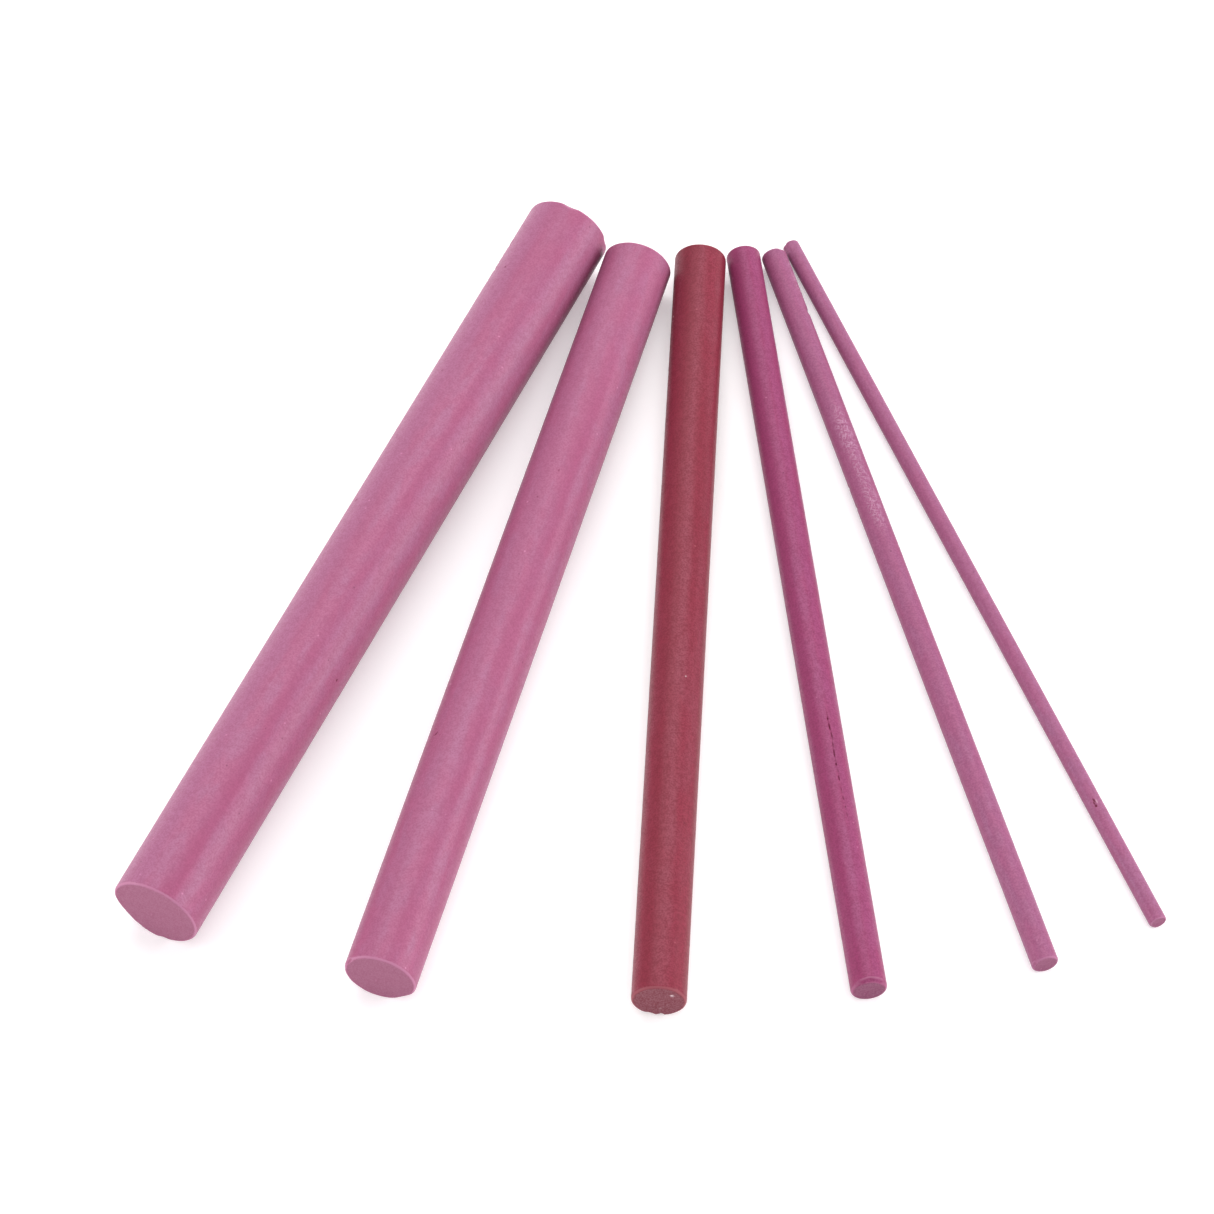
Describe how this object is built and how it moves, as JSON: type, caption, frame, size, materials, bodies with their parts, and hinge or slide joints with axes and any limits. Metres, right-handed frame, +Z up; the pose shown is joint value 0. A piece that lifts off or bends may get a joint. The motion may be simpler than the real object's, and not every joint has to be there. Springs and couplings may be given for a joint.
{
  "type": "round polishing stone set",
  "caption": "Set of loose solid round ceramic rods in graded diameters, with flat ends, laid out side by side in a fan.",
  "frame": {"origin": "on the surface that the rods lie on, in the middle of the set's footprint", "axes": "+Z up; +Y from the open end of the fan to its closed end, roughly along the rods; +X across the fan, from the thickest rod to the thinnest"},
  "size_m": [0.1128, 0.1048, 0.01],
  "materials": {
    "pink_ceramic": "matte, fine mineral grain, pink-mauve",
    "brick_red_ceramic": "matte, fine mineral grain, brick red",
    "plum_ceramic": "matte, fine mineral grain, plum",
    "pink_ceramic_fine": "matte, fine mineral grain, darker pink-mauve"
  },
  "bodies": {
    "rod_10mm": {"rod_10mm": "pink_ceramic"},
    "rod_8mm": {"rod_8mm": "pink_ceramic"},
    "rod_6mm": {"rod_6mm": "brick_red_ceramic"},
    "rod_4mm": {"rod_4mm": "plum_ceramic"},
    "rod_3mm": {"rod_3mm": "pink_ceramic_fine"},
    "rod_2mm": {"rod_2mm": "pink_ceramic_fine"}
  },
  "joints": [
    {"name": "rod_8mm_lift", "type": "slide", "parent": "rod_10mm", "child": "rod_8mm", "axis": [0, 0, 1], "range_m": [0, 0.05]},
    {"name": "rod_6mm_lift", "type": "slide", "parent": "rod_10mm", "child": "rod_6mm", "axis": [0, 0, 1], "range_m": [0, 0.05]},
    {"name": "rod_4mm_lift", "type": "slide", "parent": "rod_10mm", "child": "rod_4mm", "axis": [0, 0, 1], "range_m": [0, 0.05]},
    {"name": "rod_3mm_lift", "type": "slide", "parent": "rod_10mm", "child": "rod_3mm", "axis": [0, 0, 1], "range_m": [0, 0.05]},
    {"name": "rod_2mm_lift", "type": "slide", "parent": "rod_10mm", "child": "rod_2mm", "axis": [0, 0, 1], "range_m": [0, 0.05]}
  ]
}
